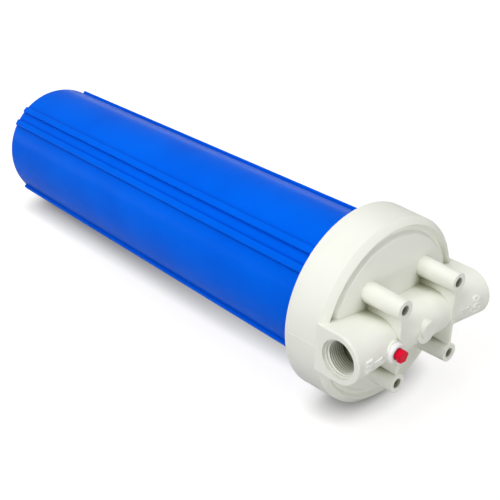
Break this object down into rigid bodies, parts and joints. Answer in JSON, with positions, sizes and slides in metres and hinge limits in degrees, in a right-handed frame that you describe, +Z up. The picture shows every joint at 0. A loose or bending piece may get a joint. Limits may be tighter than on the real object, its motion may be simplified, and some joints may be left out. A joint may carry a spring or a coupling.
{
  "type": "water filter housing",
  "caption": "Large-format water filter housing: ribbed blue sump screwed into a white cap with opposed pipe ports, bracket bosses and a pressure-relief button.",
  "frame": {"origin": "centre of the four bracket bosses, in the plane of their faces", "axes": "+X along the housing's axis out of the cap, -Y to the inlet port, +Y to the outlet port, +Z up with the housing lying on its side"},
  "size_m": [0.6092, 0.184, 0.184],
  "materials": {
    "cap_plastic": "smooth moulded, warm white",
    "sump_plastic": "smooth moulded, saturated royal blue",
    "valve_plastic": "glossy bright white",
    "button_plastic": "glossy red",
    "seal_rubber": "matt black rubber",
    "spring_steel": "drawn stainless wire",
    "core_plastic": "natural white plastic",
    "filter_paper": "pleated non-woven paper"
  },
  "bodies": {
    "cap": {"housing_cap": "cap_plastic", "relief_valve_body": "valve_plastic", "relief_body_seal": "seal_rubber", "relief_spring": "spring_steel"},
    "seal_ring": {"sump_seal_ring": "seal_rubber"},
    "sump": {"sump": "sump_plastic", "cartridge_core": "core_plastic", "cartridge_media": "filter_paper", "cartridge_cap_top": "core_plastic", "cartridge_cap_bottom": "core_plastic", "cartridge_gasket_top": "seal_rubber", "cartridge_gasket_bottom": "seal_rubber"},
    "relief_button": {"relief_button": "button_plastic", "relief_stem_seal": "seal_rubber", "relief_retainer": "spring_steel"}
  },
  "joints": [
    {"name": "sump_travel", "type": "slide", "parent": "cap", "child": "seal_ring", "axis": [-1, 0, 0], "range_m": [0, 0.0161]},
    {"name": "sump_turn", "type": "hinge", "parent": "seal_ring", "child": "sump", "pos_m": [-0.07, 0, 0], "axis": [-1, 0, 0], "range_deg": [0, 720]},
    {"name": "relief_press", "type": "slide", "parent": "cap", "child": "relief_button", "axis": [-1, 0, 0], "range_m": [0, 0.0026], "stiffness_N_per_m": 900, "deforming": ["relief_spring"]}
  ],
  "couplings": [
    {"joint": "sump_travel", "follows": "sump_turn", "m_per_rad": 0.0012732}
  ]
}
